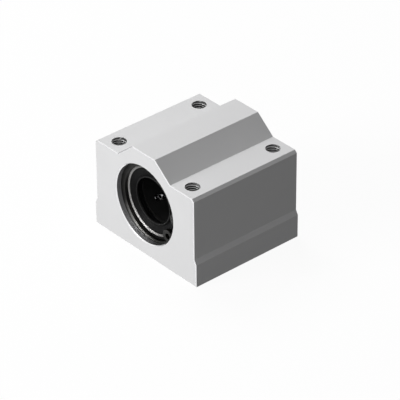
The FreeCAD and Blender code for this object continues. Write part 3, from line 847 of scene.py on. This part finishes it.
class BEARINGBLOCK_OT_finish_sleeve(BuildStep):
    """Gives the sleeve its ground steel, with painted shade away from the bore's lower left and a painted
    shadow beside the ring
    """

    bl_idname = "bearing_block.finish_sleeve"
    bl_label = "Finish sleeve"

    def execute(self, context):
        scene = context.scene
        finish_node("bearing_sleeve", ground_steel(scene.bearing_finish, scene.grease_line))
        return {"FINISHED"}


class BEARINGBLOCK_OT_finish_cage(BuildStep):
    """Gives the cage and its end rings their plastic and stamped steel"""

    bl_idname = "bearing_block.finish_cage"
    bl_label = "Finish cage"

    def execute(self, context):
        settings = context.scene.bearing_finish
        finish_node("ball_cage", moulded_cage(settings))
        plate = stamped_plate(settings)
        for end in ENDS:
            finish_node(f"{end}_end_ring", plate)
        return {"FINISHED"}


class BEARINGBLOCK_OT_roll_balls(BuildStep):
    """Puts a round polished ball where each ball of the ten rows stands"""

    bl_idname = "bearing_block.roll_balls"
    bl_label = "Roll balls"

    def execute(self, context):
        material = polished_balls(context.scene.bearing_finish)
        rows = sorted(name for name in NODES if "_balls_" in name)
        if not rows:
            raise RuntimeError("the frame has no rows of balls")
        for name in rows:
            mesh = bmesh.new()
            for centre, radius in ball_centres(NODES[name]):
                ball = bmesh.ops.create_icosphere(mesh, subdivisions=BALL_SUBDIVISIONS, radius=radius)
                bmesh.ops.translate(mesh, verts=ball["verts"], vec=centre)
            row = new_piece(name.replace("balls", "ball_row"), mesh, material)
            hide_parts(name)
        return {"FINISHED"}


class BEARINGBLOCK_OT_mould_seals(BuildStep):
    """Moulds the two rubber seals, with a flat rim, a dished face and a lip on the shaft"""

    bl_idname = "bearing_block.mould_seals"
    bl_label = "Mould seals"

    def execute(self, context):
        sizes = context.scene.seal_sizes
        material = nitrile_rubber(context.scene.bearing_finish)
        for end, sign in ENDS.items():
            low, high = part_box(f"{end}_seal")
            rim, thickness = high.x, high.y - low.y
            lip_edge = LIP_RADIUS + sizes.lip_width
            floor_half = sizes.dish_floor / 2
            section = [
                (sizes.rounding, LIP_RADIUS),
                (0.0, LIP_RADIUS + sizes.rounding),
                (sizes.rounding / 2, lip_edge),
                (sizes.dish_depth, sizes.dish_radius - floor_half),
                (sizes.dish_depth, sizes.dish_radius + floor_half),
                (0.0, rim - sizes.rim_width),
                (0.0, rim),
                (thickness, rim),
                (thickness, LIP_RADIUS + sizes.relief),
                (sizes.lip_length + sizes.relief, LIP_RADIUS + sizes.relief),
                (sizes.lip_length, LIP_RADIUS),
            ]
            face = low.y if sign < 0 else high.y
            mesh = turn_section(section, face, -sign, sizes.segments)
            seal = new_piece(f"{end}_rubber_seal", mesh, material)
            round_edges(seal, sizes.rounding, steps=3)
            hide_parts(f"{end}_seal")
        return {"FINISHED"}


class BEARINGBLOCK_OT_finish_rings(BuildStep):
    """Gives the retaining rings their dark phosphated steel, with painted shade on their edges and on all but
    their lower left
    """

    bl_idname = "bearing_block.finish_rings"
    bl_label = "Finish retaining rings"

    def execute(self, context):
        settings = context.scene.bearing_finish
        material = phosphated_spring(settings)
        for end in ENDS:
            ring = finish_node(f"{end}_retaining_ring", material)
            round_edges(ring, settings.edge_radius, is_imported=True)
        return {"FINISHED"}


class BEARINGBLOCK_OT_set_stage(BuildStep):
    """Puts the block on a white floor in soft light, seen as the photograph shows it"""

    bl_idname = "bearing_block.set_stage"
    bl_label = "Set stage"

    def execute(self, context):
        settings = context.scene.stage_settings
        context.scene.view_settings.view_transform = "Standard"
        set_room(context, settings)
        lay_floor(context, settings)
        for name in ("front", "top", "fill"):
            hang_lamp(context, settings, name)
        aim_camera(context, settings)
        return {"FINISHED"}


def grey(value):
    """A colour without a tint."""
    return (value, value, value, 1)


def is_seen(tree):
    """1 for what the camera sees, straight or by a mirror or through glass."""
    path = add_node(tree, "ShaderNodeLightPath").outputs
    mirrored = calculate(tree, "MAXIMUM", path["Is Glossy Ray"], path["Is Transmission Ray"])
    return calculate(tree, "MAXIMUM", path["Is Camera Ray"], mirrored)


def set_room(context, settings):
    world = bpy.data.worlds.new("pale_room")
    world.use_nodes = True
    tree = world.node_tree
    room = tree.nodes["Background"]
    room.inputs["Color"].default_value = grey(1)
    tree.links.new(blend_values(tree, is_seen(tree), settings.room_light, 1.0), room.inputs["Strength"])
    context.scene.world = world


def lay_floor(context, settings):
    mesh = bmesh.new()
    bmesh.ops.create_grid(mesh, x_segments=1, y_segments=1, size=settings.floor_size / 2)
    data = bpy.data.meshes.new("floor")
    mesh.to_mesh(data)
    mesh.free()
    floor = bpy.data.objects.new("floor", data)
    context.scene.collection.objects.link(floor)
    data.materials.append(white_floor(settings))


def white_floor(settings):
    """A floor that is white to the eye with a faint shadow, and sends only a little light back up."""
    material, tree, shader = new_material("white_floor")
    tree.nodes.remove(shader)
    dull = add_node(tree, "ShaderNodeBsdfDiffuse", {"Color": grey(settings.floor_bounce)}).outputs[0]
    lit = add_node(tree, "ShaderNodeBsdfDiffuse", {"Color": grey(settings.floor_shade)}).outputs[0]
    shine = {"Color": grey(1), "Strength": settings.floor_glow}
    glow = add_node(tree, "ShaderNodeEmission", shine).outputs[0]
    white = add_node(tree, "ShaderNodeAddShader", {0: lit, 1: glow}).outputs[0]
    mixed = add_node(tree, "ShaderNodeMixShader", {0: is_seen(tree), 1: dull, 2: white}).outputs[0]
    tree.links.new(mixed, tree.nodes["Material Output"].inputs["Surface"])
    return material


def hang_lamp(context, settings, name):
    """A square lamp of the power that gives a white face turned to it the wanted level."""
    data = bpy.data.lights.new(f"{name}_lamp", "AREA")
    data.shape = "SQUARE"
    data.size = settings.lamp_size
    data.energy = getattr(settings, f"{name}_level") * (math.pi * settings.lamp_distance) ** 2
    lamp = bpy.data.objects.new(f"{name}_lamp", data)
    away = Vector(getattr(settings, f"{name}_lamp")).normalized() * settings.lamp_distance
    lamp.location = (CAD_BOX[0] + CAD_BOX[1]) / 2 + away
    lamp.rotation_euler = (-away).to_track_quat("-Z", "Y").to_euler()
    context.scene.collection.objects.link(lamp)


def aim_camera(context, settings):
    data = bpy.data.cameras.new("camera")
    data.lens = settings.lens
    camera = bpy.data.objects.new("camera", data)
    tilt = Matrix.Rotation(math.pi / 2 - settings.view_elevation, 3, "X")
    aim = Matrix.Rotation(settings.view_azimuth, 3, "Z") @ tilt
    camera.location = Vector(settings.view_target) + aim @ Vector((0, 0, settings.view_distance))
    camera.rotation_euler = (aim @ Matrix.Rotation(settings.view_roll, 3, "Z")).to_euler()
    context.scene.collection.objects.link(camera)
    context.scene.camera = camera


STEPS = (
    BEARINGBLOCK_OT_finish_housing,
    BEARINGBLOCK_OT_cut_threads,
    BEARINGBLOCK_OT_finish_sleeve,
    BEARINGBLOCK_OT_finish_cage,
    BEARINGBLOCK_OT_roll_balls,
    BEARINGBLOCK_OT_mould_seals,
    BEARINGBLOCK_OT_finish_rings,
    BEARINGBLOCK_OT_set_stage,
)


class BEARINGBLOCK_PT_build(Panel):
    """Lists the settings and the steps in the order that they are taken"""

    bl_idname = "BEARINGBLOCK_PT_build"
    bl_label = "Bearing Block"
    bl_space_type = "VIEW_3D"
    bl_region_type = "UI"
    bl_category = "Bearing Block"

    def draw(self, context):
        for name, group in SETTINGS.items():
            box = self.layout.box()
            for field in group.__annotations__:
                box.prop(getattr(context.scene, name), field)
        for step in STEPS:
            self.layout.operator(step.bl_idname)


def register():
    for group in SETTINGS.values():
        bpy.utils.register_class(group)
    for name, group in SETTINGS.items():
        setattr(bpy.types.Scene, name, PointerProperty(type=group))
    for step in STEPS:
        bpy.utils.register_class(step)
    bpy.utils.register_class(BEARINGBLOCK_PT_build)


def unregister():
    bpy.utils.unregister_class(BEARINGBLOCK_PT_build)
    for step in reversed(STEPS):
        bpy.utils.unregister_class(step)
    for name in SETTINGS:
        delattr(bpy.types.Scene, name)
    for group in reversed(SETTINGS.values()):
        bpy.utils.unregister_class(group)


def main():
    register()
    for step in STEPS:
        section, name = step.bl_idname.split(".")
        getattr(getattr(bpy.ops, section), name)()


if __name__ == "__main__":
    main()
